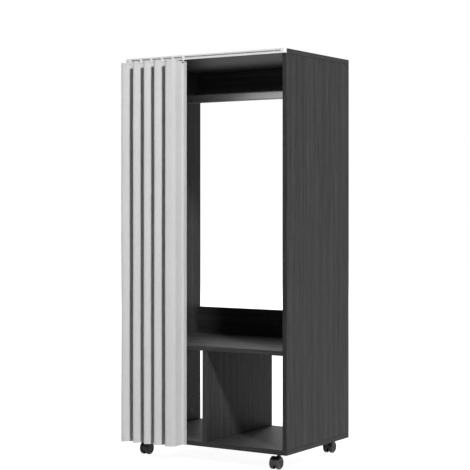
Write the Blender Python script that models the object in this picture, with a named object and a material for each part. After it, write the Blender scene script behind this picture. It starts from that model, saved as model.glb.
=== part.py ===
"""Open wardrobe of dark boards on four twin-wheel casters, with a pleated curtain that slides along its front.

Metres, +Z up. +X is to the right of someone who faces the open front, and the front faces -Y. The origin lies on
the floor, under the middle of the box that holds the boards and the gathered curtain.
"""

import math

import bmesh
import bpy
from mathutils import Matrix, Vector

# Boards
WIDTH = 0.600
DEPTH = 0.400
BODY_HEIGHT = 1.233
BOARD = 0.015
EDGE_EASE = 0.0006
CUBBY_HEIGHT = 0.286
BACK_STRIP_HEIGHT = 0.090

# Room left between pieces that touch, and between pieces that turn or slide on each other
SEAT = 0.0003
RUNNING = 0.0003
OVERRUN = 0.002
WELD = 0.000001

# Casters
CASTER_HEIGHT = 0.050
CASTER_SIDE_INSET = 0.0550
CASTER_END_INSET = 0.0454
CASTER_TRAIL = 0.016
CASTER_TURNS_DEGREES = {"front_left": 1, "front_right": 3, "rear_left": 178, "rear_right": 182}
WHEEL_RADIUS = 0.020
WHEEL_WIDTH = 0.0106
WHEEL_SPACING = 0.0116
WHEEL_SHOULDER = 0.0042
WHEEL_SHOULDER_SHARES = ((0.0, 1.0), (0.5, 0.97), (0.85, 0.90), (1.0, 0.74))
WHEEL_DISH = 0.0014
WHEEL_DISH_SHARES = (0.64, 0.60, 0.32, 0.28)
WHEEL_HUB_WALL = 0.003
WHEEL_RECESS = 0.0060
WHEEL_RECESS_RADIUS = 0.0166
WHEEL_HUB_RADIUS = 0.0056
TREAD_EASE = 0.0008
AXLE_RADIUS = 0.0022
CORE_RADIUS = 0.0184
CORE_ARC_DEGREES = (72, 202)
CORE_CLEARANCE = 0.0004
CORE_HUB_RADIUS = 0.0075
CORE_SHOULDER = 0.0392
BOSS_TOP = 0.0455
BOSS_WALL = 0.0013
STEM_PIN_RADIUS = 0.0035
STEM_PIN_DEPTH = 0.014
STEM_COLLAR_RADIUS = 0.0045
STEM_THREAD_RADIUS = 0.0040
STEM_THREAD_LENGTH = 0.0100
INSERT_WALL = 0.0017
INSERT_DEPTH = 0.0115
INSERT_FLANGE_RADIUS = 0.0080
INSERT_FLANGE = 0.0008

# Hanging rail, an oval tube, and the two cups that carry it
RAIL_HEIGHT = 0.030
RAIL_BREADTH = 0.015
RAIL_WALL = 0.0010
RAIL_DROP = 0.120
CUP_PLATE = 0.0020
CUP_PLATE_HEIGHT = 0.056
CUP_PLATE_BREADTH = 0.024
CUP_WALL = 0.0016
CUP_DEPTH = 0.010
CUP_SCREW_SPREAD = 0.0435

# Wood screws
SCREW_HEAD_RADIUS = 0.0030
SCREW_HEAD = 0.0016
SCREW_SHANK_RADIUS = 0.0015
SCREW_LENGTH = 0.0115
SCREW_POINT = 0.0030
SCREW_SLOT = 0.0008

# Cam locks under the middle shelf
CAM_RADIUS = 0.0072
CAM_HEIGHT = 0.0115
CAM_RIM = 0.0006
CAM_SLOT = 0.0020
CAM_SIDE_INSET = 0.034
CAM_END_INSET = 0.060

# Curtain track, a slotted channel on the front edge of the top board
TRACK_HEIGHT = 0.014
TRACK_DEPTH = 0.010
TRACK_WALL = 0.0012
TRACK_SLOT = 0.003
TRACK_SLOT_HEIGHT = 0.0085
TRACK_CAP = 0.015
TRACK_CAP_ROUND = 0.003
TRACK_PLUG = 0.006
TRACK_SCREW_INSET = 0.035

# Gliders, which run in the slot and carry the curtain
GLIDERS = 6
GLIDER_PITCH = 0.0416
GLIDER_WIDTH = 0.007
GLIDER_HEAD = 0.0025
GLIDER_LIP = 0.0014
GLIDER_TAB = 0.0015
GLIDER_TAB_DROP = 0.0022
GLIDER_HOOK = 0.0016
GLIDER_HOOK_BITE = 0.0030
GLIDER_HOOK_CLEARANCE = 0.0010

# Curtain
CLOTH = 0.0012
CURTAIN_BELOW_TRACK = 0.003
VALLEY_CLEARANCE = 0.003
FOLD_DEPTH = 0.060
SIDE_HEM = 0.007
FOLD_START_SHARE = 0.08
FOLD_CREST_SHARES = (0.09, 1.00)
FOLD_SHOULDER_SHARES = (0.52, 0.81)
FOLD_FOOT_SHARE = 0.91
FOLD_EASES = (0.0091, 0.0093, 0.0108, 0.0091)
LAST_SHOULDER_SHARES = (0.82, 0.74)
LAST_FOOT_SHARE = 0.85
LAST_EASES = (0.0091, 0.0093, 0.0095, 0.0057)
FOLD_LEAN_SHARES = (0.11, 0.02, 0.0, 0.0, 0.0)
EASE_STEPS = 6
FOLD_STEPS = 32
CURTAIN_ROWS = 4

# Facets
ROUND_STEPS = 24
SMALL_STEPS = 16

# Where the pieces stand
CURTAIN_REACH = VALLEY_CLEARANCE + FOLD_DEPTH + CLOTH
FRONT = (CURTAIN_REACH - DEPTH) / 2
REAR = FRONT + DEPTH
MIDDLE = FRONT + DEPTH / 2
UNDERSIDE = CASTER_HEIGHT
TOP = UNDERSIDE + BODY_HEIGHT
FLOOR_BOARD_TOP = UNDERSIDE + BOARD
SHELF_UNDERSIDE = FLOOR_BOARD_TOP + CUBBY_HEIGHT
SHELF_TOP = SHELF_UNDERSIDE + BOARD
TOP_BOARD_UNDERSIDE = TOP - BOARD
INSIDE = WIDTH / 2 - BOARD
RAIL_LEVEL = TOP - RAIL_DROP
TRACK_LOW = TOP - TRACK_HEIGHT
TRACK_FACE = FRONT - SEAT - TRACK_DEPTH
TRACK_END = WIDTH / 2 - TRACK_CAP
SLOT_LEVEL = TOP_BOARD_UNDERSIDE + TRACK_SLOT_HEIGHT
FIRST_GLIDER = -TRACK_END + SEAT + GLIDER_WIDTH / 2
VALLEY = FRONT - VALLEY_CLEARANCE - CLOTH / 2
CURTAIN_TOP = TOP_BOARD_UNDERSIDE - CURTAIN_BELOW_TRACK
CURTAIN_DROP = CURTAIN_TOP - UNDERSIDE
INSERT_BORE = STEM_THREAD_RADIUS + SEAT
INSERT_RADIUS = INSERT_BORE + INSERT_WALL
BOSS_RADIUS = STEM_PIN_RADIUS + RUNNING + BOSS_WALL

AXES = {"x": Vector((1, 0, 0)), "y": Vector((0, 1, 0)), "z": Vector((0, 0, 1))}


def clear_scene():
    for obj in list(bpy.data.objects):
        bpy.data.objects.remove(obj, do_unlink=True)


def material(name, color, roughness, metallic=0.0):
    made = bpy.data.materials.new(name)
    made.use_nodes = True
    shader = made.node_tree.nodes["Principled BSDF"]
    shader.inputs["Base Color"].default_value = (*color, 1.0)
    shader.inputs["Roughness"].default_value = roughness
    shader.inputs["Metallic"].default_value = metallic
    made.diffuse_color = (*color, 1.0)
    return made


def materials():
    return {
        "board": material("dark_wood_grain_board", (0.045, 0.045, 0.046), 0.50),
        "rail": material("brushed_steel_rail", (0.55, 0.55, 0.54), 0.32, 1.0),
        "zinc": material("zinc_fitting", (0.60, 0.60, 0.60), 0.35, 1.0),
        "track": material("white_track", (0.86, 0.86, 0.86), 0.40),
        "glider": material("white_glider", (0.88, 0.88, 0.87), 0.35),
        "curtain": material("pale_grey_curtain", (0.57, 0.57, 0.57), 0.90),
        "caster": material("black_caster_nylon", (0.035, 0.035, 0.037), 0.45),
        "stem": material("black_steel_stem", (0.05, 0.05, 0.05), 0.40, 1.0),
    }


def along(axis, across, up, at):
    """The point whose place along an axis is at, with its other two coordinates in X, Y, Z order."""
    return {"x": (at, across, up), "y": (across, at, up), "z": (across, up, at)}[axis]


def finish(name, mesh_data, surface):
    """Turns built faces into a shaded object with outward normals."""
    bmesh.ops.recalc_face_normals(mesh_data, faces=mesh_data.faces)
    mesh = bpy.data.meshes.new(name)
    mesh_data.to_mesh(mesh)
    mesh_data.free()
    mesh.shade_smooth()
    mesh.set_sharp_from_angle(angle=math.radians(35))
    mesh.materials.append(surface)
    obj = bpy.data.objects.new(name, mesh)
    bpy.context.scene.collection.objects.link(obj)
    return obj


def extruded(name, outline, axis, low, high, surface):
    """A prism: the outline, in the two other coordinates, pulled from low to high along the axis."""
    built = bmesh.new()
    face = built.faces.new([built.verts.new(along(axis, u, v, low)) for u, v in outline])
    pulled = bmesh.ops.extrude_face_region(built, geom=[face])["geom"]
    moved = [item for item in pulled if isinstance(item, bmesh.types.BMVert)]
    bmesh.ops.translate(built, verts=moved, vec=AXES[axis] * (high - low))
    return finish(name, built, surface)


def extruded_ring(name, outer, inner, axis, low, high, surface):
    """A tube between two outlines that have as many points as each other."""
    built = bmesh.new()
    loops = [[built.verts.new(along(axis, u, v, low)) for u, v in outline] for outline in (outer, inner)]
    count = len(outer)
    faces = []
    for i in range(count):
        j = (i + 1) % count
        faces.append(built.faces.new((loops[0][i], loops[0][j], loops[1][j], loops[1][i])))
    pulled = bmesh.ops.extrude_face_region(built, geom=faces)["geom"]
    moved = [item for item in pulled if isinstance(item, bmesh.types.BMVert)]
    bmesh.ops.translate(built, verts=moved, vec=AXES[axis] * (high - low))
    return finish(name, built, surface)


def turned(name, profile, axis, surface, steps=ROUND_STEPS):
    """A solid of revolution from (place along the axis, radius) points, turned so that a flat facet faces down.

    Radii are to the middle of the facets, so that a wheel rests on its true radius.
    """
    built = bmesh.new()
    spread = 1 / math.cos(math.pi / steps)
    points = [built.verts.new(along(axis, radius * spread, 0, at)) for at, radius in profile]
    edges = [built.edges.new(pair) for pair in zip(points, points[1:])]
    bmesh.ops.spin(
        built,
        geom=points + edges,
        cent=(0, 0, 0),
        axis=AXES[axis],
        angle=2 * math.pi,
        steps=steps,
        use_merge=True,
    )
    bmesh.ops.remove_doubles(built, verts=built.verts, dist=WELD)
    half_step = Matrix.Rotation(math.pi / steps, 3, axis.upper())
    bmesh.ops.rotate(built, verts=built.verts, cent=(0, 0, 0), matrix=half_step)
    return finish(name, built, surface)


def board(name, low, high, surface):
    """A cut board with eased edges, from its lowest to its highest corner."""
    outline = [(low[0], low[1]), (high[0], low[1]), (high[0], high[1]), (low[0], high[1])]
    made = extruded(name, outline, "z", low[2], high[2], surface)
    ease = made.modifiers.new("eased_edges", "BEVEL")
    ease.width = EDGE_EASE
    ease.segments = 1
    ease.limit_method = "ANGLE"
    return made


def boolean(obj, other, operation):
    other.hide_render = True
    other.display_type = "WIRE"
    other.hide_set(True)
    change = obj.modifiers.new(other.name, "BOOLEAN")
    change.operation = operation
    change.solver = "EXACT"
    change.object = other


def drill(obj, axis, at, low, high, radius, surface):
    """Cuts a round hole from low to high along the axis, at a point given by the other two coordinates."""
    name = f"{obj.name}_hole_{len(obj.modifiers)}"
    cutter = turned(name, [(low, 0), (low, radius), (high, radius), (high, 0)], axis, surface, SMALL_STEPS)
    cutter.location = along(axis, at[0], at[1], 0)
    cutter.parent = obj.parent
    boolean(obj, cutter, "DIFFERENCE")


def arc(centre, radius, start_degrees, end_degrees, steps):
    points = []
    for i in range(steps + 1):
        angle = math.radians(start_degrees + (end_degrees - start_degrees) * i / steps)
        points.append((centre[0] + radius * math.cos(angle), centre[1] + radius * math.sin(angle)))
    return points


def oval(centre, breadth, height, steps=SMALL_STEPS // 2):
    """An upright outline with two straight sides and two half-round ends."""
    radius = breadth / 2
    rise = height / 2 - radius
    upper = arc((centre[0], centre[1] + rise), radius, 0, 180, steps)
    lower = arc((centre[0], centre[1] - rise), radius, 180, 360, steps)
    return upper + lower


def rectangle(low_u, low_v, high_u, high_v):
    return [(low_u, low_v), (high_u, low_v), (high_u, high_v), (low_u, high_v)]


def panels(surfaces):
    """The two upright sides, and the top and bottom boards that lie over their ends."""
    dark = surfaces["board"]
    half = WIDTH / 2
    made = {}
    for side, low, high in (("left", -half, -INSIDE), ("right", INSIDE, half)):
        made[side] = board(
            f"{side}_side_panel",
            (low, FRONT, FLOOR_BOARD_TOP + SEAT),
            (high, REAR, TOP_BOARD_UNDERSIDE - SEAT),
            dark,
        )
    made["top"] = board("top_panel", (-half, FRONT, TOP_BOARD_UNDERSIDE), (half, REAR, TOP), dark)
    made["bottom"] = board("bottom_panel", (-half, FRONT, UNDERSIDE), (half, REAR, FLOOR_BOARD_TOP), dark)
    return made


def inner_boards(surfaces):
    """The middle shelf, the divider under it and the two strips that brace the open back."""
    dark = surfaces["board"]
    reach = INSIDE - SEAT
    strip_front = REAR - BOARD
    shelf = board("middle_shelf", (-reach, FRONT, SHELF_UNDERSIDE), (reach, REAR, SHELF_TOP), dark)
    board(
        "divider_panel",
        (-BOARD / 2, FRONT, FLOOR_BOARD_TOP + SEAT),
        (BOARD / 2, REAR, SHELF_UNDERSIDE - SEAT),
        dark,
    )
    for name, low in (
        ("top_back_strip", TOP_BOARD_UNDERSIDE - SEAT - BACK_STRIP_HEIGHT),
        ("lower_back_strip", SHELF_TOP + SEAT),
    ):
        board(name, (-reach, strip_front, low), (reach, REAR, low + BACK_STRIP_HEIGHT), dark)
    return shelf


def screw(name, surface):
    """A pan-head wood screw along X: its seat at the origin, its head towards -X and its point towards +X."""
    profile = [
        (-SCREW_HEAD, 0),
        (-SCREW_HEAD, SCREW_HEAD_RADIUS / 2),
        (-SCREW_HEAD / 2, SCREW_HEAD_RADIUS),
        (0, SCREW_HEAD_RADIUS),
        (0, SCREW_SHANK_RADIUS),
        (SCREW_LENGTH - SCREW_POINT, SCREW_SHANK_RADIUS),
        (SCREW_LENGTH, 0),
    ]
    made = turned(name, profile, "x", surface, SMALL_STEPS)
    slot = extruded(
        f"{name}_slot",
        rectangle(-SCREW_HEAD_RADIUS - OVERRUN, -SCREW_SLOT / 2, SCREW_HEAD_RADIUS + OVERRUN, SCREW_SLOT / 2),
        "x",
        -SCREW_HEAD - OVERRUN,
        -SCREW_HEAD / 2,
        surface,
    )
    slot.parent = made
    boolean(made, slot, "DIFFERENCE")
    return made


def rail_cup(name, surface):
    """A plate on the side panel, at the origin and facing +X, with an oval collar for the rail's end."""
    plate_outline = oval((0, 0), CUP_PLATE_BREADTH, CUP_PLATE_HEIGHT)
    bore_breadth = RAIL_BREADTH + 2 * SEAT
    bore_height = RAIL_HEIGHT + 2 * SEAT
    made = extruded(name, plate_outline, "x", SEAT, SEAT + CUP_PLATE, surface)
    collar = extruded_ring(
        f"{name}_collar",
        oval((0, 0), bore_breadth + 2 * CUP_WALL, bore_height + 2 * CUP_WALL),
        oval((0, 0), bore_breadth, bore_height),
        "x",
        SEAT + CUP_PLATE / 2,
        SEAT + CUP_PLATE + CUP_DEPTH,
        surface,
    )
    collar.parent = made
    boolean(made, collar, "UNION")
    return made


def hanging_rail(surfaces, sides):
    end = INSIDE - SEAT - CUP_PLATE - SEAT
    extruded_ring(
        "hanging_rail",
        oval((MIDDLE, RAIL_LEVEL), RAIL_BREADTH, RAIL_HEIGHT),
        oval((MIDDLE, RAIL_LEVEL), RAIL_BREADTH - 2 * RAIL_WALL, RAIL_HEIGHT - 2 * RAIL_WALL),
        "x",
        -end,
        end,
        surfaces["rail"],
    )
    hole = SCREW_SHANK_RADIUS + SEAT
    seat = SEAT + CUP_PLATE + SEAT
    depth = SCREW_LENGTH - seat + SEAT
    for side, turn in (("left", 0), ("right", math.pi)):
        direction = math.cos(turn)
        wall = -direction * INSIDE
        cup = rail_cup(f"rail_support_{side}", surfaces["zinc"])
        cup.location = (wall, MIDDLE, RAIL_LEVEL)
        cup.rotation_euler = (0, 0, turn)
        for place, rise in (("upper", CUP_SCREW_SPREAD / 2), ("lower", -CUP_SCREW_SPREAD / 2)):
            made = screw(f"rail_screw_{side}_{place}", surfaces["zinc"])
            made.location = (wall + direction * seat, MIDDLE, RAIL_LEVEL + rise)
            made.rotation_euler = (0, 0, turn + math.pi)
            ends = sorted((wall - direction * depth, wall + direction * (seat + OVERRUN)))
            for drilled in (sides[side], cup):
                drill_world(drilled, (MIDDLE, RAIL_LEVEL + rise), ends, hole, surfaces["zinc"])


def drill_world(obj, at, ends, radius, surface):
    """Cuts a hole along X, placed in the part's own frame, in a piece that may itself be turned."""
    name = f"{obj.name}_hole_{len(obj.modifiers)}"
    profile = [(ends[0], 0), (ends[0], radius), (ends[1], radius), (ends[1], 0)]
    cutter = turned(name, profile, "x", surface, SMALL_STEPS)
    cutter.location = (0, at[0], at[1])
    boolean(obj, cutter, "DIFFERENCE")


def shelf_cams(surfaces, shelf):
    """Four cam locks in blind pockets under the middle shelf, near its corners."""
    for row, y in (("front", FRONT + CAM_END_INSET), ("rear", REAR - CAM_END_INSET)):
        for side, sign in (("left", -1), ("right", 1)):
            x = sign * (INSIDE - CAM_SIDE_INSET)
            name = f"shelf_cam_lock_{row}_{side}"
            profile = [
                (0, 0),
                (0, CAM_RADIUS - CAM_RIM),
                (CAM_RIM, CAM_RADIUS),
                (CAM_HEIGHT, CAM_RADIUS),
                (CAM_HEIGHT, 0),
            ]
            made = turned(name, profile, "z", surfaces["zinc"], SMALL_STEPS)
            made.location = (x, y, SHELF_UNDERSIDE)
            slot_outline = rectangle(-CAM_RADIUS / 2, -CAM_SLOT / 2, CAM_RADIUS / 2, CAM_SLOT / 2)
            slot = extruded(f"{name}_slot", slot_outline, "z", -OVERRUN, CAM_SLOT, surfaces["zinc"])
            slot.parent = made
            boolean(made, slot, "DIFFERENCE")
            drill(
                shelf,
                "z",
                (x, y),
                SHELF_UNDERSIDE - OVERRUN,
                SHELF_UNDERSIDE + CAM_HEIGHT + SEAT,
                CAM_RADIUS + SEAT,
                surfaces["zinc"],
            )


def track_outline():
    """The channel's section in Y and Z, open along its face at the slot."""
    face = TRACK_FACE
    back = FRONT - SEAT
    low, high = TRACK_LOW, TOP
    slot_low, slot_high = SLOT_LEVEL - TRACK_SLOT / 2, SLOT_LEVEL + TRACK_SLOT / 2
    wall = TRACK_WALL
    return [
        (face, slot_low),
        (face, low),
        (back, low),
        (back, high),
        (face, high),
        (face, slot_high),
        (face + wall, slot_high),
        (face + wall, high - wall),
        (back - wall, high - wall),
        (back - wall, low + wall),
        (face + wall, low + wall),
        (face + wall, slot_low),
    ]


def track_cap(side, sign, surface):
    """A moulded end cap with a rounded corner, and a plug in the channel that stops the gliders."""
    back = FRONT - SEAT
    outer, inner = sign * WIDTH / 2, sign * (TRACK_END + SEAT)
    start = (180, 270) if sign < 0 else (360, 270)
    corner = arc((outer - sign * TRACK_CAP_ROUND, TRACK_FACE + TRACK_CAP_ROUND), TRACK_CAP_ROUND, *start, 4)
    outline = [(outer, back), *corner, (inner, TRACK_FACE), (inner, back)]
    cap = extruded(f"track_end_cap_{side}", outline, "z", TRACK_LOW, TOP, surface)
    slack = TRACK_WALL + SEAT
    ends = sorted((inner + sign * OVERRUN, inner - sign * TRACK_PLUG))
    plug = extruded(
        f"track_end_cap_{side}_plug",
        rectangle(TRACK_FACE + slack + GLIDER_HEAD + RUNNING, TRACK_LOW + slack, back - slack, TOP - slack),
        "x",
        *ends,
        surface,
    )
    boolean(cap, plug, "UNION")


def curtain_track(surfaces, top_panel):
    white = surfaces["track"]
    end = TRACK_END
    track = extruded("curtain_track", track_outline(), "x", -end, end, white)
    for side, sign in (("left", -1), ("right", 1)):
        track_cap(side, sign, white)
    level = (TOP_BOARD_UNDERSIDE + TOP) / 2
    seat = FRONT - SEAT - TRACK_WALL - SEAT
    hole = SCREW_SHANK_RADIUS + SEAT
    reach = TRACK_END - TRACK_SCREW_INSET
    for place, x in (("left", -reach), ("middle", 0), ("right", reach)):
        made = screw(f"track_screw_{place}", surfaces["zinc"])
        made.location = (x, seat, level)
        made.rotation_euler = (0, 0, math.pi / 2)
        for drilled, low, high in (
            (top_panel, FRONT - OVERRUN, seat + SCREW_LENGTH + SEAT),
            (track, seat, FRONT + OVERRUN),
        ):
            drill(drilled, "y", (x, level), low, high, hole, surfaces["zinc"])


def glider(name, surface):
    """A moulded glider, its middle at the origin in X: head behind the slot, neck, tab on the face, hook."""
    slot_low, slot_high = SLOT_LEVEL - TRACK_SLOT / 2, SLOT_LEVEL + TRACK_SLOT / 2
    tab_back = TRACK_FACE - RUNNING
    tab_front = tab_back - GLIDER_TAB
    head_front = TRACK_FACE + TRACK_WALL + RUNNING
    head_back = head_front + GLIDER_HEAD
    tab_low = TOP_BOARD_UNDERSIDE - GLIDER_TAB_DROP
    outline = [
        (tab_front, tab_low),
        (tab_back, tab_low),
        (tab_back, slot_low + RUNNING),
        (head_front, slot_low + RUNNING),
        (head_front, slot_low - GLIDER_LIP),
        (head_back, slot_low - GLIDER_LIP),
        (head_back, slot_high + GLIDER_LIP),
        (head_front, slot_high + GLIDER_LIP),
        (head_front, slot_high - RUNNING),
        (tab_back, slot_high - RUNNING),
        (tab_back, slot_high + GLIDER_LIP),
        (tab_front + GLIDER_TAB / 2, slot_high + GLIDER_LIP),
        (tab_front, slot_high),
    ]
    half = GLIDER_WIDTH / 2
    made = extruded(name, outline, "x", -half, half, surface)
    hook_tip = VALLEY - CLOTH / 2 - GLIDER_HOOK_CLEARANCE
    hook_low = CURTAIN_TOP - GLIDER_HOOK_BITE
    hook_outline = [
        (tab_front, hook_low),
        (hook_tip, hook_low),
        (hook_tip, CURTAIN_TOP),
        (tab_back, CURTAIN_TOP),
        (tab_back, tab_low + GLIDER_TAB),
        (tab_front, tab_low + GLIDER_TAB),
    ]
    hook = extruded(f"{name}_hook", hook_outline, "x", -GLIDER_HOOK / 2, GLIDER_HOOK / 2, surface)
    hook.parent = made
    boolean(made, hook, "UNION")
    return made


def eased(points, eases):
    """A line whose inner corners are each swapped for a short curve, as long on both sides as its ease."""
    points = [Vector(point) for point in points]
    made = [points[0]]
    for before, corner, after, ease in zip(points, points[1:], points[2:], eases):
        start = corner + (before - corner).normalized() * min(ease, (before - corner).length / 2)
        end = corner + (after - corner).normalized() * min(ease, (after - corner).length / 2)
        for i in range(EASE_STEPS + 1):
            share = i / EASE_STEPS
            made.append(start.lerp(corner, share).lerp(corner.lerp(end, share), share))
    return made + [points[-1]]


def even_steps(line, count):
    """The line in steps that are all as long as each other."""
    run = [0.0]
    for before, after in zip(line, line[1:]):
        run.append(run[-1] + (after - before).length)
    made = []
    for i in range(count + 1):
        distance = run[-1] * i / count
        j = next(j for j in range(1, len(run)) if run[j] >= distance or j == len(run) - 1)
        share = (distance - run[j - 1]) / (run[j] - run[j - 1])
        made.append(line[j - 1].lerp(line[j], share))
    return made


def fold_corners(number):
    """One fold's corners seen from above, in shares of the pitch and the depth, and the eases at them."""
    last = number == GLIDERS - 2
    shoulder = LAST_SHOULDER_SHARES if last else FOLD_SHOULDER_SHARES
    foot = LAST_FOOT_SHARE if last else FOLD_FOOT_SHARE
    corners = [(0, 0), (FOLD_START_SHARE, 0), FOLD_CREST_SHARES, shoulder, (foot, 0), (1, 0)]
    return corners, LAST_EASES if last else FOLD_EASES


def fold_line(number):
    """The centre line of one pleat, seen from above, with the first and the last pleat's side hem.

    The line is stretched outwards so that its rounded crest reaches the whole depth of the fold.
    """
    corners, eases = fold_corners(number)
    curve = eased([(x * GLIDER_PITCH, out * FOLD_DEPTH) for x, out in corners], eases)
    stretch = FOLD_DEPTH / max(point.y for point in curve)
    lean = FOLD_LEAN_SHARES[number] * GLIDER_PITCH / FOLD_DEPTH
    line = [(point.x - lean * point.y, point.y * stretch) for point in even_steps(curve, FOLD_STEPS)]
    if number == 0:
        line = [(-SIDE_HEM, 0)] + line
    else:
        line[0] = (SEAT / 2, 0)
    if number == GLIDERS - 2:
        line.append((GLIDER_PITCH + SIDE_HEM, 0))
    else:
        line[-1] = (GLIDER_PITCH - SEAT / 2, 0)
    return line


def pleat(number, surface):
    """One hanging fold of the curtain, as a thin solid, its origin at the glider that draws it along."""
    line = fold_line(number)
    left = FIRST_GLIDER + number * GLIDER_PITCH
    built = bmesh.new()
    rows = []
    for row in range(CURTAIN_ROWS + 1):
        z = CURTAIN_TOP - CURTAIN_DROP * row / CURTAIN_ROWS
        faces = ([], [])
        for i, (x, out) in enumerate(line):
            ahead = line[min(i + 1, len(line) - 1)]
            behind = line[max(i - 1, 0)]
            run = Vector((ahead[0] - behind[0], behind[1] - ahead[1])).normalized()
            if i in (0, len(line) - 1):
                run = Vector((1, 0))
            for points, off in zip(faces, (CLOTH / 2, -CLOTH / 2)):
                points.append(built.verts.new((left + x + run.y * off, VALLEY - out - run.x * off, z)))
        rows.append(faces[0] + faces[1][::-1])
    count = len(rows[0])
    for upper, lower in zip(rows, rows[1:]):
        for i in range(count):
            j = (i + 1) % count
            built.faces.new((upper[i], upper[j], lower[j], lower[i]))
    for ring in (rows[0], rows[-1]):
        for i in range(len(line) - 1):
            built.faces.new((ring[i], ring[i + 1], ring[count - 2 - i], ring[count - 1 - i]))
    puller = left + GLIDER_PITCH
    bmesh.ops.translate(built, verts=built.verts, vec=(-puller, 0, 0))
    made = finish(f"curtain_pleat_{number + 1}", built, surface)
    made.location = (puller, 0, 0)


def curtain(surfaces):
    for i in range(GLIDERS):
        made = glider(f"glider_{i + 1}", surfaces["glider"])
        made.location = (FIRST_GLIDER + i * GLIDER_PITCH, 0, 0)
    for i in range(GLIDERS - 1):
        pleat(i, surfaces["curtain"])


def caster_wheel(name, surface):
    """One wheel along X: its inner face at the origin, its domed outer face towards +X, and a blind hub bore.

    The inner face is hollow between the hub and the rim.
    """
    bore = AXLE_RADIUS + RUNNING
    radius, width = WHEEL_RADIUS, WHEEL_WIDTH
    hub = width - WHEEL_HUB_WALL
    profile = [
        (hub, 0),
        (hub, bore),
        (0, bore),
        (0, WHEEL_HUB_RADIUS),
        (WHEEL_RECESS, WHEEL_HUB_RADIUS),
        (WHEEL_RECESS, WHEEL_RECESS_RADIUS),
        (0, WHEEL_RECESS_RADIUS),
        (0, radius - TREAD_EASE),
        (TREAD_EASE, radius),
    ]
    for across_share, radius_share in WHEEL_SHOULDER_SHARES:
        profile.append((width - WHEEL_SHOULDER * (1 - across_share), radius * radius_share))
    floor = width - WHEEL_DISH
    for across, radius_share in zip((width, floor, floor, width), WHEEL_DISH_SHARES):
        profile.append((across, radius * radius_share))
    profile.append((width, 0))
    return turned(name, profile, "x", surface)


def core_outline():
    """The core between the wheels, seen along the axle: over and before them, under it, up to the boss."""
    axle = (-CASTER_TRAIL, WHEEL_RADIUS)
    before = arc(axle, CORE_RADIUS, *CORE_ARC_DEGREES, 12)
    under = arc(axle, CORE_HUB_RADIUS, 250, 310, 4)
    boss = [(BOSS_RADIUS, CORE_RADIUS), (BOSS_RADIUS, CORE_SHOULDER), (-BOSS_RADIUS, CORE_SHOULDER)]
    return before + under + boss


def caster_core(name, surface, pivot):
    """The moulded body: a core between the two wheels, and the round boss that turns on the stem."""
    half = WHEEL_SPACING / 2 - CORE_CLEARANCE
    core = extruded(name, core_outline(), "x", -half, half, surface)
    profile = [(CORE_RADIUS, 0), (CORE_RADIUS, BOSS_RADIUS), (BOSS_TOP, BOSS_RADIUS), (BOSS_TOP, 0)]
    boss = turned(f"{name}_boss", profile, "z", surface, SMALL_STEPS)
    for piece in (core, boss):
        piece.parent = pivot
    boolean(core, boss, "UNION")
    pin_hole = STEM_PIN_RADIUS + RUNNING
    drill(core, "z", (0, 0), BOSS_TOP - STEM_PIN_DEPTH - SEAT, BOSS_TOP + OVERRUN, pin_hole, surface)
    reach = half + OVERRUN
    drill(core, "x", (-CASTER_TRAIL, WHEEL_RADIUS), -reach, reach, AXLE_RADIUS + SEAT, surface)


def caster(corner, x, y, surfaces, bottom_panel):
    """A twin-wheel caster: its stem screwed into an insert in the board, its body free to turn below it.

    Its left and right are its own, seen from the side that its wheels trail to.
    """
    black, steel = surfaces["caster"], surfaces["stem"]
    insert_caster_hardware(corner, x, y, surfaces, bottom_panel)
    pivot = bpy.data.objects.new(f"{corner}_caster_pivot", None)
    bpy.context.scene.collection.objects.link(pivot)
    pivot.location = (x, y, 0)
    pivot.rotation_euler = (0, 0, math.radians(CASTER_TURNS_DEGREES[corner]))
    caster_core(f"{corner}_caster_body", black, pivot)
    axle_half = WHEEL_SPACING / 2 + WHEEL_WIDTH - WHEEL_HUB_WALL - RUNNING
    axle = turned(
        f"{corner}_caster_axle",
        [(-axle_half, 0), (-axle_half, AXLE_RADIUS), (axle_half, AXLE_RADIUS), (axle_half, 0)],
        "x",
        steel,
        SMALL_STEPS,
    )
    axle.parent = pivot
    axle.location = (0, -CASTER_TRAIL, WHEEL_RADIUS)
    for side, sign, turn in (("left", -1, math.pi), ("right", 1, 0)):
        wheel = caster_wheel(f"{corner}_caster_{side}_wheel", black)
        wheel.parent = pivot
        wheel.location = (sign * WHEEL_SPACING / 2, -CASTER_TRAIL, WHEEL_RADIUS)
        wheel.rotation_euler = (0, 0, turn)


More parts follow.
